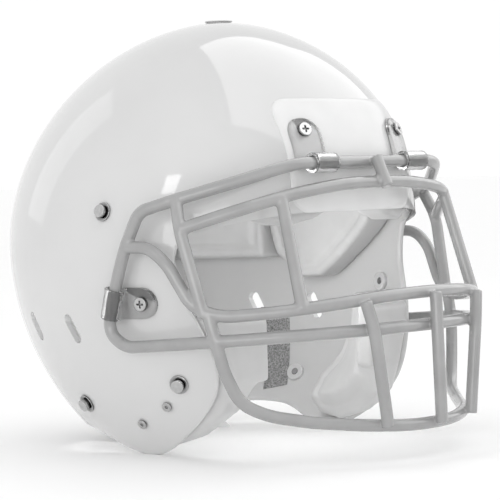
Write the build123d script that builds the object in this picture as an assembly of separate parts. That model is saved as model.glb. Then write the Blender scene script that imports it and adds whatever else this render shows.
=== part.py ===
# An American football helmet: a moulded shell with its liner pads, a welded wire face mask,
# the straps that hold the mask, chin-strap studs and the small fasteners.
# Millimetres. +Z is up, the front faces -Y and the wearer's right is -X.
# The origin is on the ground, below the middle of the helmet's length.
from build123d import *
import os
from math import cos, copysign, pi, sin, sqrt, tan

os.makedirs("parts", exist_ok=True)

# ---- shell ----
shell_half_width = 124.0
shell_front = 115.5
shell_back = 152.0
crown_z = 272.5
side_widest_z = 122.0
front_widest_z = 172.0
back_widest_z = 137.0
side_drop = 170.0
front_drop = 500.0
back_drop = 150.0
crown_power = 1.88
front_squareness = 2.4
back_squareness = 2.15
shell_wall = 4.0
outline_points = 24
section_count = 12
crown_gap = 0.15
loft_floor = -4.0

# Shell edge seen from the side, (y, z): brow, face opening, jaw flap, bottom edge and neck.
brow_edge_z = 150.0
shell_edge = [
    (-150.0, brow_edge_z),
    (-105.0, brow_edge_z),
    (-82.0, 147.0),
    (-68.0, 140.0),
    (-60.5, 129.0),
    (-59.0, 112.0),
    (-63.5, 97.5),
    (-70.0, 82.0),
    (-74.5, 62.0),
    (-73.5, 46.0),
    (-66.0, 32.0),
    (-50.0, 17.0),
    (-26.0, 3.0),
    (-8.0, 0.0),
    (9.0, 4.5),
    (30.0, 13.0),
    (55.0, 15.0),
    (78.0, 10.0),
    (170.0, 8.0),
]

# Ear slots, as (y, z) centres, and the air valve at the crown.
ear_slots = [(22.0, 80.0), (66.0, 80.0)]
slot_length = 20.0
slot_width = 7.0
slot_lean = -30.0
valve_hole_radius = 7.5
valve_flange = 0.8

# ---- bumpers and liner ----
bumper_skin = 1.5
bumper_half_width = 57.0
bumper_top_z = 219.0
bumper_lip = 2.5
rear_bumper_half_width = 50.0
rear_bumper_wall = 3.0
rear_bumper_top = 22.0
pad_gap = 0.4
pad_thickness = 22.0
jaw_pad_thickness = 30.0
# Pad outlines: the front pad as (x, z), the side and jaw pads as (y, z).
front_pad_outline = [
    (-72, 206), (-76, 160), (-70, 147), (-53, 141), (-34, 145), (-16, 154),
    (16, 154), (34, 145), (53, 141), (70, 147), (76, 160), (72, 206),
]
side_pad_outline = [(-52, 190), (-52, 141), (2, 101), (20, 101), (40, 118), (44, 140), (44, 190)]
jaw_pad_outline = [
    (-80, 84), (-80, 48), (-70, 28), (-50, 13), (-28, 6), (-12, 10),
    (-8, 22), (-12, 36), (-30, 52), (-40, 68), (-42, 92), (-52, 92),
]
# What is cut from the low inner face of a jaw pad, as (x, z): it thins towards the flap's edge.
jaw_pad_taper = [(40, 45), (60, 45), (81, -2), (40, -2)]

# ---- face mask: coated steel bar ----
bar_radius = 3.7
bar_axis_y = -121.5
bar_axis_z = 178.5
straight_half = 69.5
front_weld = 0.86 * 2 * bar_radius

# ---- straps and fasteners ----
clip_x = 44.0
clip_half_width = 10.0
clip_skin = 3.0
clip_wall = 2.2
bar_clearance = 0.3
clip_screw_z = 197.0
clip_top_z = 206.0
side_clip_y = -40.0
side_clip_z = 97.0
side_clip_height = 19.0
screw_radius = 2.4
screw_head_radius = 4.2
screw_head_height = 2.0
nut_radius = 6.0
nut_height = 2.4
stud_places = [(-10.0, 152.5), (-53.0, 47.0), (28.0, 32.0)]
stud_base_radius = 6.0
stud_base_height = 1.0
stud_neck_radius = 3.0
stud_head_radius = 4.0
stud_height = 4.2
stud_head_height = 2.2
rivet_places = [(-41.0, 33.0), (-17.5, 21.0)]
rivet_radius = 3.2
rivet_hole_gap = 0.15
rivet_height = 1.4
rivet_lift = 0.4
loop_radius = bar_radius + bar_clearance + clip_wall
nut_gap = 0.25
stud_lift = 0.1
head_gap = 0.05
pocket_gap = 1.5

# Half the face mask's reach beyond the shell: it puts the origin under the middle of the length.
middle_shift = 12.3

sides = {"right": -1, "left": 1}

# ---- routes of the mask's bars on the wearer's right (x, y, z), from the outside inwards ----
top_route = [
    (-124.5, -60.0, 155.7),
    (-120.0, -71.0, 159.0),
    (-108.0, -86.0, 164.0),
    (-92.0, -101.0, 169.8),
    (-straight_half, bar_axis_y, bar_axis_z),
]
side_route = [
    (-124.5, -60.0, 155.7),
    (-129.0, -49.0, 152.4),
    (-130.5, -38.0, 132.0),
    (-129.8, -28.0, 108.0),
    (-128.2, -19.0, 80.0),
    (-127.0, -32.0, 70.5),
    (-124.6, -47.0, 71.5),
]
lower_route = [
    (-124.6, -47.0, 71.5),
    (-121.5, -75.0, 73.4),
    (-114.0, -101.0, 75.2),
    (-98.0, -122.5, 76.4),
    (-75.0, -144.0, 77.8),
    (-45.0, -159.0, 78.6),
    (0.0, -165.0, 78.9),
]
brow_route = [
    (-125.2, -78.0, 141.4),
    (-112.0, -91.0, 147.0),
    (-92.0, -111.0, 155.0),
    (-70.0, -123.5, 161.0),
    (-36.0, -129.0, 165.3),
    (0.0, -129.8, 166.2),
]
upper_route = [
    (-130.4, -37.0, 131.0),
    (-130.0, -56.0, 131.4),
    (-127.5, -69.0, 121.5),
    (-121.5, -83.0, 95.0),
    (-114.0, -99.0, 89.3),
    (-96.0, -125.5, 91.2),
    (-70.0, -148.5, 94.8),
    (-38.0, -161.0, 98.0),
    (0.0, -164.5, 98.9),
]
chin_route = [
    (-72.0, -132.0, 24.5),
    (-48.0, -155.0, 21.5),
    (-22.0, -165.0, 19.8),
    (0.0, -166.5, 19.4),
]
jaw_route = [
    (-117.5, -92.0, 90.0),
    (-115.6, -96.0, 74.0),
    (-112.0, -98.5, 56.0),
    (-104.0, -103.5, 37.0),
    (-90.0, -113.5, 29.0),
    (-72.0, -132.0, 24.5),
]
outer_upright_route = [
    (-120.0, -71.0, 159.0),
    (-125.2, -78.0, 141.4),
    (-119.0, -90.0, 89.5),
]
inner_upright_route = [
    (-79.4, -118.5, 158.8),
    (-84.6, -137.0, 92.5),
]
lower_upright_route = [
    (-55.0, -154.5, 96.0),
    (-50.5, -157.0, 78.5),
    (-41.4, -158.0, 20.6),
]
centre_upright_route = [
    (0.0, -164.5, 98.9),
    (0.0, -165.0, 78.9),
    (0.0, -166.5, 19.4),
]
brow_strut_route = [
    (0.0, bar_axis_y, bar_axis_z + 3.0),
    (0.0, -129.8, 163.0),
]


# ---------------------------------------------------------------- shell surface
def reach(z, widest, widest_z, drop, inset):
    """How far the shell stands from its axis at height z, moved inwards by inset."""
    widest = widest - inset
    if z >= widest_z:
        rise = min((z - widest_z) / (crown_z - inset - widest_z), 1.0)
        return widest * (1 - rise**crown_power) ** (1 / crown_power)
    fall = (widest_z - z) / drop
    return widest * sqrt(1 - fall * fall)


def half_width_at(y, z, inset=0.0):
    """Half width of the shell at the side point (y, z)."""
    if y < 0:
        length = reach(z, shell_front, front_widest_z, front_drop, inset)
        power = front_squareness
    else:
        length = reach(z, shell_back, back_widest_z, back_drop, inset)
        power = back_squareness
    across = reach(z, shell_half_width, side_widest_z, side_drop, inset)
    return across * (1 - min(abs(y) / length, 1.0) ** power) ** (1 / power)


def front_at(x, z, inset=0.0):
    """The y of the shell's front at (x, z)."""
    across = reach(z, shell_half_width, side_widest_z, side_drop, inset)
    length = reach(z, shell_front, front_widest_z, front_drop, inset)
    return -length * (1 - min(abs(x) / across, 1.0) ** front_squareness) ** (1 / front_squareness)


def side_plane(side, y, z):
    """A plane on the shell's side at (y, z), facing outwards."""
    step = 0.5
    slope_y = (half_width_at(y + step, z) - half_width_at(y - step, z)) / (2 * step)
    slope_z = (half_width_at(y, z + step) - half_width_at(y, z - step)) / (2 * step)
    origin = (side * half_width_at(y, z), y, z)
    return Plane(origin=origin, x_dir=(side * slope_y, 1, 0), z_dir=(side, -slope_y, -slope_z))


def front_plane(x, z):
    """A plane on the shell's forehead at (x, z), facing outwards."""
    step = 0.5
    slope_x = (front_at(x + step, z) - front_at(x - step, z)) / (2 * step)
    slope_z = (front_at(x, z + step) - front_at(x, z - step)) / (2 * step)
    return Plane(origin=(x, front_at(x, z), z), x_dir=(1, slope_x, 0), z_dir=(slope_x, -1, slope_z))


def plan_outline(z, inset):
    """The closed plan outline of the shell at height z: round at the back, squarer in front."""
    across = reach(z, shell_half_width, side_widest_z, side_drop, inset)
    front = reach(z, shell_front, front_widest_z, front_drop, inset)
    back = reach(z, shell_back, back_widest_z, back_drop, inset)
    points = []
    for i in range(outline_points):
        angle = 2 * pi * i / outline_points
        c, s = cos(angle), sin(angle)
        length = front if s < 0 else back
        power = 2 / (front_squareness if s < 0 else back_squareness)
        x = across * copysign(abs(c) ** power, c)
        y = length * copysign(abs(s) ** power, s)
        points.append((x, y, z))
    return Wire([Edge.make_spline(points, periodic=True)])


def dome(inset):
    """The solid dome inside the shell surface moved inwards by inset."""
    top = crown_z - inset - crown_gap
    heights = [
        top - (top - loft_floor) * (1 - cos(pi / 2 * i / (section_count - 1)))
        for i in range(section_count)
    ]
    return Solid.make_loft([plan_outline(z, inset) for z in reversed(heights)])


outer_dome = dome(0)
inner_dome = dome(shell_wall)
bumper_dome = dome(-bumper_skin)
clip_dome = dome(-bumper_skin - clip_skin)
side_clip_dome = dome(-clip_skin)
rear_outer_dome = dome(-rear_bumper_wall)
rear_inner_dome = dome(shell_wall + rear_bumper_wall)
pad_outer_dome = dome(shell_wall + pad_gap)
pad_inner_domes = {}


def box_between(low, high):
    """An axis-aligned box between two corners."""
    size = [b - a for a, b in zip(low, high)]
    middle = [(a + b) / 2 for a, b in zip(low, high)]
    return Pos(*middle) * Box(*size)


def side_prism(outline, x_low, x_high):
    """A closed side outline of (y, z) points carried from x_low to x_high."""
    face = Plane.YZ * make_face(Polyline(*outline, close=True))
    return Pos(x_low, 0, 0) * extrude(face, amount=x_high - x_low)


def biggest(shape):
    """The largest solid of a cut shape."""
    return max(shape.solids(), key=lambda solid: solid.volume)


# ---------------------------------------------------------------- shell
edge_curve = Plane.YZ * Spline(*shell_edge)
closing = Plane.YZ * Polyline(shell_edge[-1], (170, 300), (-150, 300), shell_edge[0])
keep_face = make_face(edge_curve.edges() + closing.edges())
kept_space = extrude(keep_face, amount=150, dir=(1, 0, 0), both=True)


def through_hole(plane, radius):
    """A straight hole through the wall along a plane's normal."""
    return plane * Cylinder(radius, 24)


def on_sides(places):
    """Planes on both sides of the shell at (y, z) places."""
    return [side_plane(side, y, z) for side in sides.values() for y, z in places]


clip_planes = [front_plane(side * clip_x, clip_screw_z) for side in sides.values()]
side_clip_planes = on_sides([(side_clip_y, side_clip_z)])
stud_planes = on_sides(stud_places)
rivet_planes = on_sides(rivet_places)


def shell_part():
    """The moulded shell: a thin dome with its face opening, ear slots and fastener holes."""
    cutters = [Pos(0, 0, crown_z) * Cylinder(valve_hole_radius, 40)]
    for side in sides.values():
        for slot_y, slot_z in ear_slots:
            slot = extrude(SlotOverall(slot_length, slot_width), amount=30, both=True)
            lean = Rot(0, 90, 0) * Rot(0, 0, slot_lean)
            cutters.append(Pos(side * 115, slot_y, slot_z) * lean * slot)
    for plane in clip_planes + side_clip_planes + stud_planes:
        cutters.append(through_hole(plane, screw_radius))
    for plane in rivet_planes:
        cutters.append(through_hole(plane, rivet_radius / 2 + rivet_hole_gap))
    wall = (outer_dome - inner_dome) & kept_space
    return wall - cutters


# ---------------------------------------------------------------- bumpers and air valve
def front_bumper_part():
    """The forehead bumper: a skin on the brow with a lip under the shell's lower edge."""
    shoulder = bumper_half_width - 14
    arch = Polyline(
        (-bumper_half_width, brow_edge_z - bumper_lip),
        (bumper_half_width, brow_edge_z - bumper_lip),
        (bumper_half_width, bumper_top_z - 35),
        (shoulder, bumper_top_z - 8),
        (shoulder - 20, bumper_top_z),
        (20 - shoulder, bumper_top_z),
        (-shoulder, bumper_top_z - 8),
        (-bumper_half_width, bumper_top_z - 35),
        close=True,
    )
    block = extrude(Plane.XZ * make_face(arch), amount=140)
    return (bumper_dome - inner_dome) & block - shell


def rear_bumper_part():
    """The rear bumper: a rubber channel round the neck edge, which the helmet stands on."""
    low = (-rear_bumper_half_width, 40, 0)
    high = (rear_bumper_half_width, 130, rear_bumper_top)
    channel = (rear_outer_dome - rear_inner_dome) & box_between(low, high)
    return channel - shell


def air_valve_part():
    """The air valve grommet in the crown hole."""
    flange = Pos(0, 0, crown_z + valve_flange / 2) * Cylinder(valve_hole_radius + 1.5, valve_flange)
    neck = Pos(0, 0, crown_z - shell_wall / 2) * Cylinder(valve_hole_radius, shell_wall)
    return flange + neck


# ---------------------------------------------------------------- liner pads
def layer(thickness, region):
    """A slab of liner of one thickness under the shell, kept inside a region."""
    if thickness not in pad_inner_domes:
        pad_inner_domes[thickness] = dome(shell_wall + pad_gap + thickness)
    return (pad_outer_dome & region) - pad_inner_domes[thickness]



def pad_parts():
    """The liner: closed cushions under the shell, each kept clear of its neighbours."""
    crown_plug = Pos(0, 4, 240) * Cylinder(54, 120)
    crown_ring = Pos(0, 4, 240) * Cylinder(58, 120)
    front_block = box_between((-61, -140, 139), (61, -27, 209))
    front_face = make_face(Plane.XZ * Polyline(*front_pad_outline, close=True))
    front_lobes = Pos(0, -140, 0) * extrude(front_face, amount=120, both=True)
    front_room = box_between((-80, -130, 138), (80, -57, 206)) + box_between((-58, -130, 138), (58, -30, 206))
    regions = {
        "front_pad": front_lobes & front_room,
        "crown_pad": crown_plug,
        "rear_upper_pad": box_between((-54, 48, 196), (54, 150, 262)) - crown_ring,
        "back_pad": box_between((-60, 60, 96), (60, 160, 192)),
        "neck_pad": box_between((-66, 30, 24), (66, 160, 88)),
    }
    for name, side in sides.items():
        inner, outer = sorted((side * 26, side * 130))
        upper_room = box_between((inner, -53, 196), (outer, 44, 262))
        regions["upper_pad_" + name] = upper_room - [crown_ring, front_block]
        inner, outer = sorted((side * 62, side * 130))
        regions["side_pad_" + name] = side_prism(side_pad_outline, inner, outer)
        inner, outer = sorted((side * 64, side * 130))
        regions["rear_side_pad_" + name] = box_between((inner, 48, 114), (outer, 130, 192))
    pads = {name: layer(pad_thickness, region) for name, region in regions.items()}
    for name, side in sides.items():
        low, high = sorted((side * 50, side * 130))
        block = side_prism(jaw_pad_outline, low, high)
        taper = [(side * x, z) for x, z in jaw_pad_taper]
        taper_face = make_face(Plane.XZ * Polyline(*taper, close=True))
        wedge = Pos(0, -40, 0) * extrude(taper_face, amount=80, both=True)
        pads["jaw_pad_" + name] = layer(jaw_pad_thickness, block - wedge)
    return pads


# ---------------------------------------------------------------- face mask
def mirrored(points):
    """A route carried over to the wearer's left."""
    return [(-x, y, z) for x, y, z in points]


def both_sides(points):
    """A right-hand route joined to its mirror image; a point on the middle plane is shared."""
    far = mirrored(points)[::-1]
    return points + (far[1:] if points[-1][0] == 0 else far)


def bent_path(points):
    """Straight runs joined by tangent arcs as large as the runs allow."""
    points = [Vector(*point) for point in points]
    edges = []
    start = points[0]
    for before, corner, after in zip(points, points[1:], points[2:]):
        back_way = before - corner
        on_way = after - corner
        cut = 0.45 * min(back_way.length, on_way.length)
        back_way = back_way.normalized()
        on_way = on_way.normalized()
        arc_start = corner + back_way * cut
        arc_end = corner + on_way * cut
        inward = (back_way + on_way).normalized()
        half_angle = back_way.get_angle(on_way) * pi / 360
        radius = cut * tan(half_angle)
        middle = corner + inward * (radius / sin(half_angle) - radius)
        edges.append(Edge.make_line(start, arc_start))
        edges.append(Edge.make_three_point_arc(arc_start, middle, arc_end))
        start = arc_end
    edges.append(Edge.make_line(start, points[-1]))
    return Wire(edges)


def bar(points):
    """One coated bar along a route."""
    path = bent_path(points)
    return sweep(Plane(origin=path @ 0, z_dir=path % 0) * Circle(bar_radius), path=path)


def moved(points, step):
    """A route moved bodily."""
    return [tuple(a + b for a, b in zip(point, step)) for point in points]


def mask_parts():
    """The mask's bars, each trimmed to the bars that it is welded to."""
    forward = (0, -front_weld, 0)
    bars = {
        "mask_top_bar": bar(both_sides(top_route)),
        "mask_lower_bar": bar(both_sides(lower_route)),
        "mask_upper_bar": bar(both_sides(upper_route)),
        "mask_brow_bar": bar(both_sides(brow_route)),
        "mask_chin_bar": bar(both_sides(chin_route)),
        "mask_centre_upright": bar(moved(centre_upright_route, forward)),
        "mask_brow_strut": bar(moved(brow_strut_route, forward)),
    }
    for name, side in sides.items():
        turn = mirrored if side > 0 else list
        bars["mask_side_bar_" + name] = bar(turn(side_route))
        bars["mask_jaw_bar_" + name] = bar(turn(jaw_route))
        bars["mask_outer_upright_" + name] = bar(turn(outer_upright_route))
        bars["mask_inner_upright_" + name] = bar(turn(inner_upright_route))
        bars["mask_lower_upright_" + name] = bar(turn(moved(lower_upright_route, forward)))
    welds = {
        "mask_upper_bar": ["mask_side_bar_left", "mask_side_bar_right"],
        "mask_brow_bar": ["mask_outer_upright_left", "mask_outer_upright_right"],
        "mask_centre_upright": ["mask_upper_bar", "mask_lower_bar", "mask_chin_bar"],
        "mask_brow_strut": ["mask_top_bar", "mask_brow_bar"],
    }
    for name in sides:
        upright = "mask_outer_upright_" + name
        welds[upright] = ["mask_top_bar", "mask_side_bar_" + name, "mask_upper_bar"]
        welds["mask_inner_upright_" + name] = ["mask_brow_bar", "mask_upper_bar"]
        welds["mask_jaw_bar_" + name] = ["mask_upper_bar", "mask_lower_bar", upright]
        welds["mask_lower_upright_" + name] = ["mask_upper_bar", "mask_lower_bar", "mask_chin_bar"]
    order = ["mask_upper_bar"]
    order += ["mask_outer_upright_" + name for name in sides]
    order += [name for name in welds if name not in order]
    for name in order:
        bars[name] = biggest(bars[name] - [bars[other] for other in welds[name]])
    return bars


# ---------------------------------------------------------------- straps and fasteners
def forehead_clip(side):
    """A clear strap screwed to the forehead, with a loop round the top bar."""
    low_x, high_x = side * clip_x - clip_half_width, side * clip_x + clip_half_width
    shoulder_z = clip_top_z - clip_half_width
    tongue = box_between((low_x, -150, bar_axis_z + 8), (high_x, -60, shoulder_z))
    rounded_end = Pos(side * clip_x, -105, shoulder_z) * Rot(90, 0, 0)
    tongue += rounded_end * Cylinder(clip_half_width, 90)
    base = clip_dome & tongue
    web = clip_dome & box_between((low_x, bar_axis_y, bar_axis_z), (high_x, -85, bar_axis_z + 10))
    along_bar = Pos(side * clip_x, bar_axis_y, bar_axis_z) * Rot(0, 90, 0)
    ring = along_bar * Cylinder(loop_radius, 2 * clip_half_width)
    bore = along_bar * Cylinder(bar_radius + bar_clearance, 3 * clip_half_width)
    return biggest((base + web + ring) - [bore, bumper_dome] - clip_screw_shanks)


def side_clip(side):
    """A clear strap screwed to the shell's side, with a loop round the mask's side bar."""
    low_z = side_clip_z - side_clip_height / 2
    high_z = side_clip_z + side_clip_height / 2
    upper, lower = Vector(*side_route[3]), Vector(*side_route[4])
    share = (upper.Z - side_clip_z) / (upper.Z - lower.Z)
    centre = upper + (lower - upper) * share
    inner_x, outer_x = sorted((side * 100, side * 135))
    tongue = box_between((inner_x, side_clip_y, low_z), (outer_x, -14, high_z))
    rounded_end = Pos((inner_x + outer_x) / 2, side_clip_y, side_clip_z) * Rot(0, 90, 0)
    tongue += rounded_end * Cylinder(side_clip_height / 2, outer_x - inner_x)
    base = side_clip_dome & tongue
    way = lower - upper
    bar_plane = Plane(origin=(-side * centre.X, centre.Y, centre.Z), z_dir=(-side * way.X, way.Y, way.Z))
    ring = bar_plane * Cylinder(loop_radius, side_clip_height)
    inner_x, outer_x = sorted((side * 112, side * (-centre.X)))
    web = box_between((inner_x, centre.Y - 7, low_z), (outer_x, centre.Y + 2, high_z))
    bore = bar_plane * Cylinder(bar_radius + bar_clearance, 3 * side_clip_height)
    return biggest((base + web + ring) - [bore, outer_dome] - clip_screw_shanks)


def screw(plane, lift):
    """A pan-head machine screw through the wall, with a cross recess in its head."""
    shank_length = lift + shell_wall + nut_height + nut_gap
    shank = Pos(0, 0, lift - shank_length / 2) * Cylinder(screw_radius, shank_length)
    head = Pos(0, 0, lift + screw_head_height / 2) * Cylinder(screw_head_radius, screw_head_height)
    recess = Box(4.6, 1.0, 2.0) + Box(1.0, 4.6, 2.0)
    return plane * (shank + head - Pos(0, 0, lift + screw_head_height) * recess)


def nut(plane):
    """A round flanged nut against the inside of the wall."""
    low = -shell_wall - nut_gap - nut_height / 2
    ring = Cylinder(nut_radius, nut_height) - Cylinder(screw_radius, 2 * nut_height)
    return (plane * Pos(0, 0, low) * ring) & inner_dome


def chin_strap_stud(plane):
    """A snap stud: a flange, a neck and a wider button, on a shank through the wall."""
    shank_length = shell_wall + nut_height + nut_gap + stud_lift
    neck_height = stud_height - stud_base_height - stud_head_height
    neck_middle = stud_lift + stud_base_height + neck_height / 2
    stud = Pos(0, 0, stud_lift - shank_length / 2) * Cylinder(screw_radius, shank_length)
    stud += Pos(0, 0, stud_lift + stud_base_height / 2) * Cylinder(stud_base_radius, stud_base_height)
    stud += Pos(0, 0, neck_middle) * Cylinder(stud_neck_radius, neck_height)
    button_middle = stud_lift + stud_height - stud_head_height / 2
    stud += Pos(0, 0, button_middle) * Cylinder(stud_head_radius, stud_head_height)
    return plane * stud


def jaw_rivet(plane):
    """A small dome-edged rivet with a hollow centre."""
    shank_length = shell_wall + nut_gap + rivet_lift
    rivet = Pos(0, 0, rivet_lift + rivet_height / 2) * Cylinder(rivet_radius, rivet_height)
    rivet += Pos(0, 0, rivet_lift - shank_length / 2) * Cylinder(rivet_radius / 2, shank_length)
    return plane * (rivet - Pos(0, 0, rivet_lift + rivet_height) * Cylinder(rivet_radius / 3, rivet_height))


def pad_snap(plane):
    """The round socket inside the wall that a jaw pad presses on to."""
    low = -shell_wall - nut_gap - nut_height / 2
    return (plane * Pos(0, 0, low) * Cylinder(rivet_radius + 1, nut_height)) & inner_dome


def group(shapes):
    """Separate solids of one kind, kept in one node."""
    return Compound(children=[solid for shape in shapes for solid in shape.solids()])


# ---------------------------------------------------------------- the assembly
clip_screw_shanks = [through_hole(plane, screw_radius) for plane in clip_planes + side_clip_planes]
nodes = {"shell": shell_part()}
shell = nodes["shell"]
nodes["front_bumper"] = front_bumper_part() - clip_screw_shanks
nodes["rear_bumper"] = rear_bumper_part()
nodes["air_valve"] = air_valve_part()
pockets = [
    plane * Pos(0, 0, -shell_wall) * Cylinder(nut_radius + pocket_gap, 2 * (nut_height + pocket_gap))
    for plane in clip_planes + side_clip_planes + stud_planes + rivet_planes
]
for name, pad in pad_parts().items():
    nodes[name] = biggest(pad - pockets)
nodes.update(mask_parts())
for name, side in sides.items():
    nodes["forehead_clip_" + name] = forehead_clip(side)
    nodes["side_clip_" + name] = side_clip(side)
forehead_lift = bumper_skin + clip_skin + head_gap
side_lift = clip_skin + head_gap
nodes["forehead_clip_screws"] = group([screw(plane, forehead_lift) for plane in clip_planes])
nodes["side_clip_screws"] = group([screw(plane, side_lift) for plane in side_clip_planes])
nodes["clip_nuts"] = group([nut(plane) for plane in clip_planes + side_clip_planes])
nodes["chin_strap_studs"] = group([chin_strap_stud(plane) for plane in stud_planes])
nodes["stud_nuts"] = group([nut(plane) for plane in stud_planes])
nodes["jaw_pad_rivets"] = group([jaw_rivet(plane) for plane in rivet_planes])
nodes["jaw_pad_snaps"] = group([pad_snap(plane) for plane in rivet_planes])

for name, shape in nodes.items():
    solids = [Pos(0, middle_shift, 0) * solid for solid in shape.solids()]
    export_step(solids[0] if len(solids) == 1 else Compound(children=solids), f"parts/{name}.step")
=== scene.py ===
"""An american football helmet: a glossy white shell, a grey wire mask, clear straps and a padded liner."""
from math import atan2, cos, pi, radians, sin

import bmesh
import bpy
import numpy as np
from mathutils import Matrix, Vector
from mathutils.kdtree import KDTree


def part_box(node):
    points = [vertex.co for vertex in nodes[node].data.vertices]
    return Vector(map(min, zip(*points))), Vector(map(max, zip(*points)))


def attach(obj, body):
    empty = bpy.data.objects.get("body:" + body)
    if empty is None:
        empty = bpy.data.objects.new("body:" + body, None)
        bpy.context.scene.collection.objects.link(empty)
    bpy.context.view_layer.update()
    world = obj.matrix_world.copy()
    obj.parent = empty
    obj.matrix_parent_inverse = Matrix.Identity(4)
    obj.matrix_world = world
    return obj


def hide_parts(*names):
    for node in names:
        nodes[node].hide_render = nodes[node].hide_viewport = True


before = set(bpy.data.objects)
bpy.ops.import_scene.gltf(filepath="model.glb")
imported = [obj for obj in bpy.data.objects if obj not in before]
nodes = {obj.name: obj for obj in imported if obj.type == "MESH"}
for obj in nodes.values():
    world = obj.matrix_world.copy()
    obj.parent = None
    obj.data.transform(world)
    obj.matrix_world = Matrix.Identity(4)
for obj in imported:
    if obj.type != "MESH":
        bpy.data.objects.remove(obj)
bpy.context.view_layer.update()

MM = 0.001
SHELL = "shell_body"
MASK = "face_mask"
JAW_BODIES = {"right": "jaw_pad_right_body", "left": "jaw_pad_left_body"}
SIDES = ("right", "left")

# The shell's shape, in metres. Its overall size is the CAD shell's.
shell_low, shell_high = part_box("shell")
HALF_WIDTH = (shell_high.x - shell_low.x) / 2
CROWN_Z = shell_high.z
BACK_REACH = 0.152
AXIS_Y = shell_high.y - BACK_REACH
FRONT_REACH = AXIS_Y - shell_low.y
SIDE_Z, FRONT_Z, BACK_Z = 0.122, 0.172, 0.137
SIDE_DROP, FRONT_DROP, BACK_DROP = 0.170, 0.500, 0.150
CROWN_POWER = 1.88
FRONT_POWER, BACK_POWER = 2.4, 2.15
WALL = 0.004
BROW_Z = 0.150
NECK_Z = 0.008
LOWEST_Z = -0.012
# The shell edge in side view, in millimetres from the shell's axis and above the floor, from brow to neck.
EDGE = [
    (-150, 150), (-105, 150), (-82, 147), (-68, 140), (-60.5, 129), (-59, 112), (-63.5, 97.5),
    (-70, 82), (-74.5, 62), (-73.5, 46), (-66, 32), (-50, 17), (-26, 3), (-8, 0), (9, 4.5),
    (30, 13), (55, 15), (78, 10), (170, 8),
]


# ------------------------------------------------------------------ shell surface
def reach(z, widest, widest_z, drop):
    """How far the shell stands from its axis at height z."""
    rise = np.clip((z - widest_z) / (CROWN_Z - widest_z), 0, 1)
    fall = np.clip((widest_z - z) / drop, 0, 0.999)
    upper = widest * (1 - rise**CROWN_POWER) ** (1 / CROWN_POWER)
    return np.where(z >= widest_z, upper, widest * np.sqrt(1 - fall**2))


def lengths(z):
    """Half width, front reach and back reach at height z."""
    across = reach(z, HALF_WIDTH, SIDE_Z, SIDE_DROP)
    front = reach(z, FRONT_REACH, FRONT_Z, FRONT_DROP)
    back = reach(z, BACK_REACH, BACK_Z, BACK_DROP)
    return across, front, back


def half_width_at(y, z):
    """Half width of the shell at side points (y, z)."""
    across, front, back = lengths(z)
    y = y - AXIS_Y
    length = np.where(y < 0, front, back)
    power = np.where(y < 0, FRONT_POWER, BACK_POWER)
    share = np.clip(np.abs(y) / np.maximum(length, 1e-6), 0, 1)
    return across * (1 - share**power) ** (1 / power)


def front_at(x, z):
    """The y of the shell's front at (x, z)."""
    across, front, _ = lengths(z)
    share = np.clip(np.abs(x) / across, 0, 1)
    return AXIS_Y - front * (1 - share**FRONT_POWER) ** (1 / FRONT_POWER)


def level(p):
    """Zero on the shell surface, and larger outside it."""
    across, front, back = lengths(p[..., 2])
    y = p[..., 1] - AXIS_Y
    length = np.where(y < 0, front, back)
    power = np.where(y < 0, FRONT_POWER, BACK_POWER)
    across = np.maximum(across, 1e-6)
    length = np.maximum(length, 1e-6)
    return ((np.abs(p[..., 0]) / across) ** power + (np.abs(y) / length) ** power) ** (1 / power) - 1


NORMAL_STEP = 2e-4
CURVE_STEPS = 24


def normals_at(p):
    """Outward unit normals of the shell surface at points p."""
    steps = NORMAL_STEP * np.eye(3)
    slope = np.stack([level(p + step) - level(p - step) for step in steps], axis=-1)
    return slope / np.maximum(np.linalg.norm(slope, axis=-1, keepdims=True), 1e-12)


def smooth_curve(points):
    """A Catmull-Rom curve through points."""
    points = np.array(points, float)
    padded = np.vstack([2 * points[0] - points[1], points, 2 * points[-1] - points[-2]])
    out = []
    for i in range(len(points) - 1):
        a, b, c, d = padded[i : i + 4]
        for t in np.linspace(0, 1, CURVE_STEPS, endpoint=False):
            bend = (2 * a - 5 * b + 4 * c - d) * t**2
            twist = (3 * b - a - 3 * c + d) * t**3
            out.append(0.5 * (2 * b + (c - a) * t + bend + twist))
    out.append(points[-1])
    return np.array(out)


# ------------------------------------------------------------------ mesh helpers
def add_mesh(name, verts, faces):
    """A new smooth-shaded mesh object in the scene."""
    mesh = bpy.data.meshes.new(name)
    mesh.from_pydata([tuple(v) for v in verts], [], faces)
    mesh.validate()
    for polygon in mesh.polygons:
        polygon.use_smooth = True
    piece = bpy.data.objects.new(name, mesh)
    bpy.context.scene.collection.objects.link(piece)
    return piece


def bake_modifiers(piece):
    """Applies every modifier of a piece to its mesh."""
    bpy.context.view_layer.update()
    evaluated = piece.evaluated_get(bpy.context.evaluated_depsgraph_get())
    mesh = bpy.data.meshes.new_from_object(evaluated)
    old = piece.data
    piece.modifiers.clear()
    piece.data = mesh
    bpy.data.meshes.remove(old)


def recalculate(piece):
    """Turns every face of a closed piece outwards."""
    bm = bmesh.new()
    bm.from_mesh(piece.data)
    bmesh.ops.recalc_face_normals(bm, faces=bm.faces)
    bm.to_mesh(piece.data)
    bm.free()


def copy_of(name, *node_names):
    """A new piece with the joined meshes of some CAD nodes."""
    bm = bmesh.new()
    for node in node_names:
        bm.from_mesh(nodes[node].data)
    bmesh.ops.remove_doubles(bm, verts=bm.verts, dist=1e-6)
    mesh = bpy.data.meshes.new(name)
    bm.to_mesh(mesh)
    bm.free()
    piece = bpy.data.objects.new(name, mesh)
    bpy.context.scene.collection.objects.link(piece)
    return piece


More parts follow.
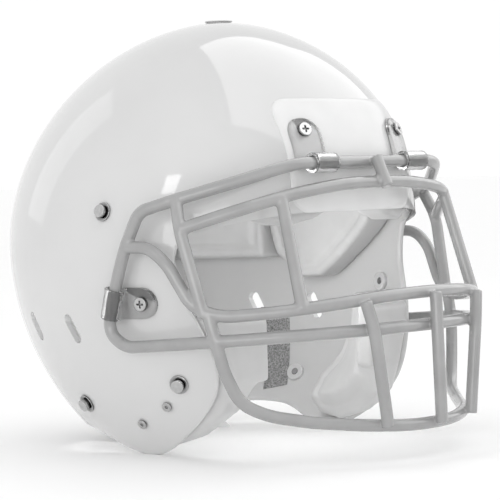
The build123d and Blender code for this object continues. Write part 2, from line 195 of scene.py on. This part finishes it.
def swell(piece, amount):
    """Moves every vertex out along its normal, so that pieces that only touch run into each other."""
    mesh = piece.data
    place = np.zeros(len(mesh.vertices) * 3)
    normal = np.zeros(len(mesh.vertices) * 3)
    mesh.vertices.foreach_get("co", place)
    mesh.vertices.foreach_get("normal", normal)
    mesh.vertices.foreach_set("co", place + normal * amount)
    mesh.update()


def rounded(piece, voxel, passes):
    """Remeshes a piece finely and smooths it, which rounds its edges and inner corners."""
    remesh = piece.modifiers.new("remesh", "REMESH")
    remesh.mode = "VOXEL"
    remesh.voxel_size = voxel
    smooth = piece.modifiers.new("smooth", "SMOOTH")
    smooth.iterations = passes
    smooth.factor = 0.5
    bake_modifiers(piece)
    for polygon in piece.data.polygons:
        polygon.use_smooth = True
    return piece


def finish_piece(piece, body, material, slot_name, *replaced):
    """Gives a piece its material and body, and hides the CAD nodes that it stands for."""
    piece.data.materials.clear()
    piece.data.materials.append(material)
    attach(piece, body)
    if replaced:
        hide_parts(*replaced)


# ------------------------------------------------------------------ materials
RAMP_START, RAMP_END = 0.3, 0.7
BUMP_DISTANCE = 0.0004
# Painted shade in crevices: how sharply it falls off, and the grey it darkens the base colour to.
PAINTED_SHADE_POWER = 2.2
PAINTED_SHADE_GREY = 0.015


def new_material(name):
    """An empty node material with a Principled shader; returns (material, tree, shader)."""
    material = bpy.data.materials.new(name)
    material.use_nodes = True
    tree = material.node_tree
    return material, tree, tree.nodes["Principled BSDF"]


def noise(tree, scale, detail=3.0):
    """A noise texture in object space."""
    coords = tree.nodes.new("ShaderNodeTexCoord")
    texture = tree.nodes.new("ShaderNodeTexNoise")
    texture.inputs["Scale"].default_value = scale
    texture.inputs["Detail"].default_value = detail
    texture.inputs["Roughness"].default_value = 0.5
    tree.links.new(coords.outputs["Object"], texture.inputs["Vector"])
    return texture


def ramp(tree, source, dark, light):
    """A ramp between two greys, driven by a texture's factor."""
    node = tree.nodes.new("ShaderNodeValToRGB")
    node.color_ramp.elements[0].position = RAMP_START
    node.color_ramp.elements[1].position = RAMP_END
    node.color_ramp.elements[0].color = (dark, dark, dark, 1)
    node.color_ramp.elements[1].color = (light, light, light, 1)
    tree.links.new(source, node.inputs["Fac"])
    return node


def range_of(tree, source, low, high):
    """Maps a 0 to 1 factor on to a range."""
    node = tree.nodes.new("ShaderNodeMapRange")
    node.inputs["To Min"].default_value = low
    node.inputs["To Max"].default_value = high
    tree.links.new(source, node.inputs["Value"])
    return node.outputs["Result"]


def bump(tree, shader, source, strength):
    """Adds a bump from a height source."""
    node = tree.nodes.new("ShaderNodeBump")
    node.inputs["Strength"].default_value = strength
    node.inputs["Distance"].default_value = BUMP_DISTANCE
    tree.links.new(source, node.inputs["Height"])
    tree.links.new(node.outputs["Normal"], shader.inputs["Normal"])


def plain_material(name, tones, roughness, scale, grain=None, **sockets):
    """A material with mottled grey tones, varied roughness and a fine bump of grain (strength, scale)."""
    material, tree, shader = new_material(name)
    mottle = noise(tree, scale)
    colour = ramp(tree, mottle.outputs["Fac"], *tones)
    tree.links.new(colour.outputs["Color"], shader.inputs["Base Color"])
    tree.links.new(range_of(tree, mottle.outputs["Fac"], *roughness), shader.inputs["Roughness"])
    if grain:
        strength, grain_scale = grain
        fine = noise(tree, grain_scale, detail=2.0)
        bump(tree, shader, fine.outputs["Fac"], strength)
    for socket, value in sockets.items():
        shader.inputs[socket.replace("_", " ")].default_value = value
    return material


def painted_crevice_shade(material, distance):
    """Paints shade into the base colour: darkens it towards a grey where a surface is boxed in by its
    neighbours.
    """
    tree = material.node_tree
    shader = tree.nodes["Principled BSDF"]
    source = shader.inputs["Base Color"].links[0].from_socket
    occlusion = tree.nodes.new("ShaderNodeAmbientOcclusion")
    occlusion.inputs["Distance"].default_value = distance
    depth = tree.nodes.new("ShaderNodeMath")
    depth.operation = "POWER"
    depth.inputs[1].default_value = PAINTED_SHADE_POWER
    tree.links.new(occlusion.outputs["AO"], depth.inputs[0])
    mix = tree.nodes.new("ShaderNodeMix")
    mix.data_type = "RGBA"
    colour_a, colour_b, colour_out = mix.inputs[6], mix.inputs[7], mix.outputs[2]
    colour_a.default_value = (PAINTED_SHADE_GREY, PAINTED_SHADE_GREY, PAINTED_SHADE_GREY, 1)
    tree.links.new(depth.outputs["Value"], mix.inputs[0])
    tree.links.new(source, colour_b)
    tree.links.new(colour_out, shader.inputs["Base Color"])


shell_white = plain_material(
    "shell_white", (0.575, 0.605), (0.05, 0.10), 14, grain=(0.012, 320),
    Coat_Weight=0.5, Coat_Roughness=0.03,
)
bumper_white = plain_material("bumper_white", (0.68, 0.72), (0.16, 0.24), 40, grain=(0.04, 900))
mask_grey = plain_material("mask_grey", (0.28, 0.32), (0.20, 0.28), 60, grain=(0.05, 500), Coat_Weight=0.6)
clear_plastic = plain_material(
    "clear_plastic", (0.86, 0.96), (0.02, 0.08), 120, grain=(0.30, 260),
    Transmission_Weight=0.95, IOR=1.49,
)
chrome = plain_material("chrome", (0.46, 0.56), (0.08, 0.16), 300, grain=(0.04, 1200), Metallic=1.0)
steel = plain_material("steel", (0.42, 0.52), (0.20, 0.32), 400, grain=(0.06, 1500), Metallic=1.0)
nut_steel = plain_material("nut_steel", (0.74, 0.80), (0.35, 0.45), 400, grain=(0.06, 1500), Metallic=0.5)
black_plastic = plain_material("black_plastic", (0.02, 0.03), (0.45, 0.6), 80, grain=(0.1, 900))
label_grey = plain_material("label_grey", (0.10, 0.42), (0.4, 0.5), 900)
valve_rubber = plain_material("valve_rubber", (0.60, 0.66), (0.4, 0.5), 90, grain=(0.05, 1000))
pad_vinyl = plain_material("pad_vinyl", (0.50, 0.56), (0.36, 0.5), 30, grain=(0.10, 900))
jaw_vinyl = plain_material("jaw_vinyl", (0.54, 0.60), (0.32, 0.45), 30, grain=(0.08, 900))
# Painted shade: the clear straps, chrome studs and steel screws are darkened in their base colour where
# they are boxed in.
painted_crevice_shade(clear_plastic, distance=0.0012)
painted_crevice_shade(chrome, distance=0.0035)
painted_crevice_shade(steel, distance=0.0020)


# ------------------------------------------------------------------ shell
SEARCH_REACH, SEARCH_STEPS = 0.4, 40


def ray_to_profile(origin, direction):
    """Distance from a side point to the dome's outline on the middle plane."""
    low, high = 0.0, SEARCH_REACH
    for _ in range(SEARCH_STEPS):
        middle = (low + high) / 2
        y, z = origin + direction * middle
        _, front, back = lengths(np.array(z))
        length = front if y < AXIS_Y else back
        inside = LOWEST_Z < z < CROWN_Z and abs(y - AXIS_Y) < length
        low, high = (middle, high) if inside else (low, middle)
    return low


def shell_rim():
    """The shell edge as a side outline in metres, from the brow's middle to the neck's middle."""
    curve = smooth_curve(EDGE) * MM + np.array([AXIS_Y, 0])
    _, front, _ = lengths(np.array(BROW_Z))
    _, _, back = lengths(np.array(NECK_Z))
    inside = (curve[:, 0] > AXIS_Y - front) & (curve[:, 0] < AXIS_Y + back)
    first = np.array([[AXIS_Y - front, BROW_Z]])
    last = np.array([[AXIS_Y + back, NECK_Z]])
    return np.vstack([first, curve[inside], last])


def even(points, count):
    """Points evenly spaced along a polyline."""
    steps = np.linalg.norm(np.diff(points, axis=0), axis=1)
    along = np.concatenate([[0], np.cumsum(steps)])
    where = np.linspace(0, along[-1], count)
    return np.stack([np.interp(where, along, points[:, k]) for k in range(points.shape[1])], axis=1)


HUB = np.array([AXIS_Y + 0.004, 0.121])
RIM_COLUMNS, CROWN_COLUMNS, RINGS = 260, 240, 70
RIM_STEPS = 5
RIM_BULGE = 0.0012


def shell_border():
    """The outline of the shell's half in side view: its edge, then back over the crown."""
    rim = even(shell_rim(), RIM_COLUMNS)
    start = atan2(rim[0][1] - HUB[1], rim[0][0] - HUB[0])
    end = atan2(rim[-1][1] - HUB[1], rim[-1][0] - HUB[0])
    if start < 0:
        start += 2 * pi
    top = []
    for angle in np.linspace(start, end, CROWN_COLUMNS)[1:-1]:
        way = np.array([cos(angle), sin(angle)])
        top.append(HUB + ray_to_profile(HUB, way) * way)
    return np.vstack([rim, np.array(top)[::-1]])


def skin_grid(border):
    """The outer skin's half as rings that grow from the hub to the border, and its outward normals."""
    grid = np.zeros((RINGS + 1, len(border), 3))
    for j, point in enumerate(border):
        way = point - HUB
        distance = np.linalg.norm(way)
        full = max(ray_to_profile(HUB, way / distance), distance)
        last = np.arcsin(min(distance / full, 1.0))
        radii = full * np.sin(last * np.linspace(0, 1, RINGS + 1))
        yz = HUB + radii[:, None] * (way / distance)
        grid[:, j, 1:] = yz
        grid[:, j, 0] = half_width_at(yz[:, 0], yz[:, 1])
    on_middle = [0, *range(RIM_COLUMNS - 1, len(border))]
    grid[-1, on_middle, 0] = 0
    normal = normals_at(grid)
    normal[-1, on_middle, 0] = 0
    normal /= np.linalg.norm(normal, axis=-1, keepdims=True)
    return grid, normal


def rim_point(border, grid, normal, j, turn):
    """A point on the rounded rim at rim column j, turned from the outer skin, 0, to the inner one, pi."""
    outer = grid[-1, j]
    inner = outer - normal[-1, j] * WALL
    before = grid[-1, max(j - 1, 0)]
    after = grid[-1, min(j + 1, RIM_COLUMNS - 1)]
    outward = np.cross(normal[-1, j], after - before)
    outward /= np.linalg.norm(outward)
    if np.dot(outward[1:], border[j] - HUB) < 0:
        outward = -outward
    middle = (outer + inner) / 2
    return middle + (outer - middle) * cos(turn) + outward * RIM_BULGE * sin(turn)


def shell_piece():
    """The moulded shell: an outer and an inner skin joined by a rounded rim."""
    border = shell_border()
    grid, normal = skin_grid(border)
    columns = len(border)
    verts, faces, index = [], [], {}

    def vertex(side, on_middle, point, *key):
        """The index of a vertex, made once; both sides share those on the middle plane."""
        key = (0 if on_middle else side, *key)
        if key not in index:
            index[key] = len(verts)
            verts.append((0 if on_middle else point[0] * side, point[1], point[2]))
        return index[key]

    def skin_vertex(side, layer, i, j):
        """A vertex of the outer skin, layer 0, or the inner one, layer 1; ring 0 is one vertex."""
        j = j % columns if i else 0
        on_middle = i == RINGS and (j == 0 or j >= RIM_COLUMNS - 1)
        point = grid[i, j] - normal[i, j] * (WALL if layer else 0)
        return vertex(side, on_middle, point, layer, i, j)

    def rim_vertex(side, j, k):
        """A vertex of the rounded rim; its first and last steps are the two skins' own vertices."""
        if k in (0, RIM_STEPS):
            return skin_vertex(side, k // RIM_STEPS, RINGS, j)
        point = rim_point(border, grid, normal, j, pi * k / RIM_STEPS)
        return vertex(side, j in (0, RIM_COLUMNS - 1), point, "rim", k, j)

    for side in (-1, 1):
        for layer in (0, 1):
            for i in range(RINGS):
                for j in range(columns):
                    places = [(i, j), (i, j + 1), (i + 1, j + 1), (i + 1, j)]
                    corners = [skin_vertex(side, layer, *place) for place in places]
                    if i == 0:
                        corners.pop(1)
                    faces.append(corners if (side < 0) != bool(layer) else corners[::-1])
        for j in range(RIM_COLUMNS - 1):
            for k in range(RIM_STEPS):
                places = [(j, k), (j + 1, k), (j + 1, k + 1), (j, k + 1)]
                corners = [rim_vertex(side, *place) for place in places]
                faces.append(corners if side > 0 else corners[::-1])
    piece = add_mesh("shell_moulding", verts, faces)
    recalculate(piece)
    return piece


SLOT_LENGTH, SLOT_WIDTH, SLOT_LEAN = 0.020, 0.007, radians(-30)
SLOT_PLACES = [(AXIS_Y + 0.022, 0.080), (AXIS_Y + 0.066, 0.080)]
SLOT_CUT_FROM, SLOT_CUT_TO = 0.09, 0.14
SLOT_END_STEPS = 12
CROWN_HOLE_RADIUS = 0.0075
CROWN_CUT_BELOW, CROWN_CUT_ABOVE = 0.02, 0.01
CROWN_HOLE_STEPS = 40
SHARP_FROM = radians(42)


def bar_faces(count):
    """The faces of a bar between two rings of count points."""
    faces = [list(range(count)), list(range(count, 2 * count))[::-1]]
    faces += [(i, (i + 1) % count, count + (i + 1) % count, count + i) for i in range(count)]
    return faces


def slot_cutter(place_y, place_z, side):
    """A rounded bar through one side wall that cuts an ear slot."""
    half_flat = (SLOT_LENGTH - SLOT_WIDTH) / 2
    radius = SLOT_WIDTH / 2
    turned = []
    for end in (1, -1):
        for k in range(SLOT_END_STEPS + 1):
            turn = -pi / 2 + pi * k / SLOT_END_STEPS
            along = end * (half_flat + radius * cos(turn))
            across = end * radius * sin(turn)
            y = place_y + across * cos(SLOT_LEAN) - along * sin(SLOT_LEAN)
            z = place_z + along * cos(SLOT_LEAN) + across * sin(SLOT_LEAN)
            turned.append((y, z))
    verts = [(side * x, y, z) for x in (SLOT_CUT_FROM, SLOT_CUT_TO) for y, z in turned]
    return verts, bar_faces(len(turned))


def crown_cutter():
    """An upright round bar that cuts the crown hole."""
    ring = []
    for k in range(CROWN_HOLE_STEPS):
        turn = 2 * pi * k / CROWN_HOLE_STEPS
        ring.append((CROWN_HOLE_RADIUS * cos(turn), AXIS_Y + CROWN_HOLE_RADIUS * sin(turn)))
    verts = [(x, y, z) for z in (CROWN_Z - CROWN_CUT_BELOW, CROWN_Z + CROWN_CUT_ABOVE) for x, y in ring]
    return verts, bar_faces(len(ring))


def pierced(piece, cutters):
    """Cuts holes through a piece."""
    verts, faces = [], []
    for some_verts, some_faces in cutters:
        start = len(verts)
        verts += some_verts
        faces += [[start + i for i in face] for face in some_faces]
    cutter = add_mesh("cutter", verts, faces)
    recalculate(cutter)
    boolean = piece.modifiers.new("holes", "BOOLEAN")
    boolean.operation = "DIFFERENCE"
    boolean.solver = "EXACT"
    boolean.object = cutter
    bake_modifiers(piece)
    mesh = cutter.data
    bpy.data.objects.remove(cutter)
    bpy.data.meshes.remove(mesh)
    for polygon in piece.data.polygons:
        polygon.use_smooth = True
    piece.data.set_sharp_from_angle(angle=SHARP_FROM)
    return piece


cutters = [slot_cutter(y, z, side) for y, z in SLOT_PLACES for side in (-1, 1)]
cutters.append(crown_cutter())
shell = pierced(shell_piece(), cutters)
finish_piece(shell, SHELL, shell_white, "shell_plastic", "shell")


def two_layer_sheet(name, verts, columns, rows):
    """A closed sheet from two layers of grid points, all of one layer first, joined round their border."""
    across = columns + 1
    size = across * (rows + 1)
    faces = []
    for layer in (0, 1):
        for j in range(rows):
            for i in range(columns):
                a = layer * size + j * across + i
                faces.append([a, a + 1, a + across + 1, a + across])
    ring = list(range(across))
    ring += [across * j + columns for j in range(1, rows + 1)]
    ring += [across * rows + i for i in range(columns - 1, -1, -1)]
    ring += [across * j for j in range(rows - 1, 0, -1)]
    for k, a in enumerate(ring):
        b = ring[(k + 1) % len(ring)]
        faces.append([a, size + a, size + b, b])
    piece = add_mesh(name, verts, faces)
    recalculate(piece)
    return piece


# ------------------------------------------------------------------ bumpers
PANEL_COLUMNS, PANEL_ROWS = 90, 60
PANEL_INSET = 0.0008
PANEL_CORNER = 0.012
PANEL_LIFT, PANEL_DISH = 0.0016, 0.0004
PANEL_ROLL, PANEL_DISH_FROM = 0.004, 0.006
PANEL_SUNK = 0.0006
LIP_START, LIP_SPREAD = 0.0002, 0.0004


def front_bumper_piece():
    """A thin moulded panel on the brow: a pillow with a rolled edge and a lip under the shell."""
    low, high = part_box("front_bumper")
    half, bottom, top = high.x, low.z + PANEL_INSET, high.z - PANEL_INSET
    columns, rows, corner = PANEL_COLUMNS, PANEL_ROWS, PANEL_CORNER
    middle = (bottom + top) / 2
    verts = []
    for layer in (0, 1):
        for j in range(rows + 1):
            for i in range(columns + 1):
                x = half * sin(pi / 2 * (2 * i / columns - 1))
                z = middle + (top - bottom) / 2 * sin(pi / 2 * (2 * j / rows - 1))
                reach_x = half - corner
                reach_z = (top - bottom) / 2 - corner
                over_x, over_z = max(abs(x) - reach_x, 0), max(abs(z - middle) - reach_z, 0)
                over = (over_x**2 + over_z**2) ** 0.5
                if over_x and over_z and over > corner:
                    shrink = corner / over
                    x = (reach_x + over_x * shrink) * (1 if x > 0 else -1)
                    z = middle + (reach_z + over_z * shrink) * (1 if z > middle else -1)
                    over = corner
                edge = corner - max(over, max(over_x, over_z))
                lift = PANEL_LIFT * (1 - (1 - min(edge / PANEL_ROLL, 1)) ** 2) ** 0.5
                lift -= PANEL_DISH * min(max((edge - PANEL_DISH_FROM) / PANEL_ROLL, 0), 1)
                point = np.array([x, float(front_at(np.array(x), np.array(z))), z])
                normal = normals_at(point)
                lip = min(max((BROW_Z - LIP_START - z) / LIP_SPREAD, 0), 1)
                verts.append(point + normal * (lift if layer == 0 else -PANEL_SUNK - WALL * lip))
    return two_layer_sheet("front_bumper_panel", verts, columns, rows)


finish_piece(front_bumper_piece(), SHELL, bumper_white, "bumper_rubber_white", "front_bumper")
rear_bumper = rounded(copy_of("rear_bumper_panel", "rear_bumper"), voxel=0.0007, passes=6)
finish_piece(rear_bumper, SHELL, bumper_white, "bumper_rubber_white", "rear_bumper")
air_valve = rounded(copy_of("air_valve_plug", "air_valve"), voxel=0.0003, passes=4)
finish_piece(air_valve, SHELL, valve_rubber, "valve_rubber", "air_valve")

# ------------------------------------------------------------------ mask
mask_nodes = [name for name in nodes if name.startswith("mask_")]
bars = copy_of("face_mask_bars", *mask_nodes)
swell(bars, amount=0.00015)
mask = rounded(bars, voxel=0.0007, passes=8)
finish_piece(mask, MASK, mask_grey, "mask_coating", *mask_nodes)

# ------------------------------------------------------------------ straps and hardware
for side in SIDES:
    for kind in ("forehead_clip", "side_clip"):
        clip = rounded(copy_of(f"{kind}_strap_{side}", f"{kind}_{side}"), voxel=0.0005, passes=5)
        finish_piece(clip, SHELL, clear_plastic, "clear_strap", f"{kind}_{side}")
hardware = {
    "forehead_clip_screws": (steel, "screw_steel"),
    "side_clip_screws": (steel, "screw_steel"),
    "clip_nuts": (nut_steel, "nut_steel"),
    "stud_nuts": (nut_steel, "nut_steel"),
    "chin_strap_studs": (chrome, "stud_chrome"),
    "jaw_pad_rivets": (steel, "rivet_metal"),
    "jaw_pad_snaps": (black_plastic, "snap_plastic"),
}
for node, (material, slot_name) in hardware.items():
    piece = rounded(copy_of(node + "_round", node), voxel=0.00022, passes=3)
    finish_piece(piece, SHELL, material, slot_name, node)


# ------------------------------------------------------------------ pads
PAD_VOXEL, PAD_PASSES = 0.0017, 10
EDGE_FACING = 0.4
FACE_FROM, FACE_BLEND = 0.35, 0.4
CROWN_RUN = 0.012
STITCH_INSET, STITCH_WIDTH, STITCH_DEPTH = 0.0075, 0.0016, 0.0016
PAD_CROWN, JAW_PAD_CROWN = 0.005, 0.003


def cushion(node, body, material, slot_name, crown):
    """A foam pad in a sewn cover: rounded edges, a crowned face and a stitched line inside its border."""
    piece = rounded(copy_of(node + "_cushion", node), PAD_VOXEL, PAD_PASSES)
    mesh = piece.data
    count = len(mesh.vertices)
    place = np.zeros(count * 3)
    mesh.vertices.foreach_get("co", place)
    place = place.reshape(-1, 3)
    normal = np.zeros(count * 3)
    mesh.vertices.foreach_get("normal", normal)
    outward = normals_at(place)
    facing = -(normal.reshape(-1, 3) * outward).sum(axis=1)
    tree = KDTree(count)
    for i in np.flatnonzero(np.abs(facing) < EDGE_FACING):
        tree.insert(place[i], int(i))
    tree.balance()
    inner = np.flatnonzero(facing > FACE_FROM)
    depth = np.zeros(count)
    for i in inner:
        depth[i] = tree.find(place[i])[2]
    share = np.clip((facing - FACE_FROM) / FACE_BLEND, 0, 1)
    bulge = crown * (1 - np.exp(-depth / CROWN_RUN))
    bulge -= STITCH_DEPTH * np.exp(-(((depth - STITCH_INSET) / STITCH_WIDTH) ** 2))
    place -= outward * (bulge * share)[:, None]
    mesh.vertices.foreach_set("co", place.reshape(-1))
    mesh.update()
    finish_piece(piece, body, material, slot_name, node)


PADS = [
    "front_pad", "crown_pad", "rear_upper_pad", "back_pad", "neck_pad", "upper_pad_left", "upper_pad_right",
    "side_pad_left", "side_pad_right", "rear_side_pad_left", "rear_side_pad_right",
]
for node in PADS:
    cushion(node, SHELL, pad_vinyl, "liner_pad", PAD_CROWN)
for side, body in JAW_BODIES.items():
    cushion(f"jaw_pad_{side}", body, jaw_vinyl, "jaw_pad_cover", JAW_PAD_CROWN)


# ------------------------------------------------------------------ blank label on the inner wall
LABEL_COLUMNS, LABEL_ROWS = 10, 30
LABEL_THICKNESS, LABEL_SUNK = 0.0004, 0.0001
# Side view corners (y, z): upper back, upper front, lower front, lower back.
LABEL_CORNERS = [(0.0770, 0.0775), (0.0560, 0.0775), (0.0445, 0.0235), (0.0600, 0.0200)]


def label_piece():
    """A thin blank label stuck to the inside of the wearer's left wall."""
    columns, rows = LABEL_COLUMNS, LABEL_ROWS
    top_back, top_front, low_front, low_back = [np.array(corner) for corner in LABEL_CORNERS]
    verts = []
    for layer in (0, 1):
        for j in range(rows + 1):
            for i in range(columns + 1):
                upper = top_back + (top_front - top_back) * i / columns
                lower = low_back + (low_front - low_back) * i / columns
                y, z = upper + (lower - upper) * j / rows
                point = np.array([float(half_width_at(np.array(y), np.array(z))), y, z])
                inset = WALL + (LABEL_THICKNESS if layer else -LABEL_SUNK)
                verts.append(point - normals_at(point) * inset)
    return two_layer_sheet("blank_label", verts, columns, rows)


finish_piece(label_piece(), SHELL, label_grey, "liner_pad")

# ------------------------------------------------------------------ camera, floor and light
CAMERA_TARGET = Vector((0.0099, -0.0003, 0.1233))
CAMERA_AZIMUTH, CAMERA_ELEVATION = 48.197, 1.933
CAMERA_DISTANCE = 1.44
CAMERA_ROLL = 1.73
SENSOR_WIDTH_MM = 36
LENS_IN_FRAME_WIDTHS = 4.4


def aim(azimuth, elevation):
    """The unit vector from the helmet towards a compass direction; azimuth 0 is +Y and 90 is +X."""
    turn, lift = radians(azimuth), radians(elevation)
    return Vector((sin(turn) * cos(lift), cos(turn) * cos(lift), sin(lift)))


def add_camera():
    """The camera: in front of the helmet on the wearer's right, level with its middle."""
    data = bpy.data.cameras.new("camera")
    data.sensor_width = SENSOR_WIDTH_MM
    data.lens = SENSOR_WIDTH_MM * LENS_IN_FRAME_WIDTHS
    camera = bpy.data.objects.new("camera", data)
    bpy.context.scene.collection.objects.link(camera)
    away = aim(CAMERA_AZIMUTH + 180, CAMERA_ELEVATION)
    facing = away.to_track_quat("Z", "Y").to_matrix().to_4x4()
    place = Matrix.Translation(CAMERA_TARGET + away * CAMERA_DISTANCE)
    camera.matrix_world = place @ facing @ Matrix.Rotation(radians(-CAMERA_ROLL), 4, "Z")
    bpy.context.scene.camera = camera


# Name, azimuth, elevation, distance, size, surface brightness, and whether it only adds a reflection.
LAMPS = [
    ("overhead_right", 128, 55, 1.6, (2.8, 3.0), 1.25, True),
    ("rear_strip", -12, 25, 1.8, (0.5, 1.1), 0.45, True),
    ("near_lamp", -89, 27, 1.8, (0.30, 0.22), 4.5, True),
    ("top_fill", 128, 60, 1.6, (1.5, 1.5), 0.08, False),
    ("front_fill", 200, 12, 1.7, (1.0, 1.0), 0.25, False),
    ("low_fill", -115, 3, 1.6, (1.4, 0.6), 2.2, False),
]


def softbox(name, azimuth, elevation, distance, size, radiance, sheen_only):
    """A soft rectangular lamp that faces the helmet."""
    data = bpy.data.lights.new(name, "AREA")
    data.shape = "RECTANGLE"
    data.size, data.size_y = size
    data.energy = radiance * pi * size[0] * size[1]
    lamp = bpy.data.objects.new(name, data)
    bpy.context.scene.collection.objects.link(lamp)
    away = aim(azimuth, elevation)
    facing = away.to_track_quat("Z", "Y").to_matrix().to_4x4()
    lamp.matrix_world = Matrix.Translation(CAMERA_TARGET + away * distance) @ facing
    lamp.visible_diffuse = not sheen_only


FLOOR_HALF_SIZE = 40.0
INNER_LIGHT_PLACE = (0.0, -0.015, 0.115)
INNER_LIGHT_POWER, INNER_LIGHT_RADIUS = 0.26, 0.03
SURROUND_STRENGTH = 1.02


def add_inner_light():
    """A faint soft lamp in the head space, standing in for light that bounces about the liner."""
    data = bpy.data.lights.new("inner_light", "POINT")
    data.energy = INNER_LIGHT_POWER
    data.shadow_soft_size = INNER_LIGHT_RADIUS
    lamp = bpy.data.objects.new("inner_light", data)
    bpy.context.scene.collection.objects.link(lamp)
    lamp.location = INNER_LIGHT_PLACE
    lamp.visible_glossy = False


def add_surround():
    """A white surround with a faint cloudiness, as a lit studio tent has."""
    world = bpy.data.worlds.new("surround")
    world.use_nodes = True
    tree = world.node_tree
    background = tree.nodes["Background"]
    coords = tree.nodes.new("ShaderNodeTexCoord")
    cloud = tree.nodes.new("ShaderNodeTexNoise")
    cloud.inputs["Scale"].default_value = 1.2
    tree.links.new(coords.outputs["Generated"], cloud.inputs["Vector"])
    shade = ramp(tree, cloud.outputs["Fac"], 0.97, 1.0)
    tree.links.new(shade.outputs["Color"], background.inputs["Color"])
    background.inputs["Strength"].default_value = SURROUND_STRENGTH
    bpy.context.scene.world = world


def add_stage():
    """A pale floor, a white surround and soft lamps."""
    far = FLOOR_HALF_SIZE
    corners = [(-far, -far, 0), (far, -far, 0), (far, far, 0), (-far, far, 0)]
    floor = add_mesh("floor", corners, [(0, 1, 2, 3)])
    floor.data.materials.append(plain_material("floor_white", (0.97, 0.98), (0.6, 0.7), 3))
    add_surround()
    for lamp in LAMPS:
        softbox(*lamp)
    add_inner_light()
    bpy.context.scene.view_settings.view_transform = "Standard"


add_camera()
add_stage()
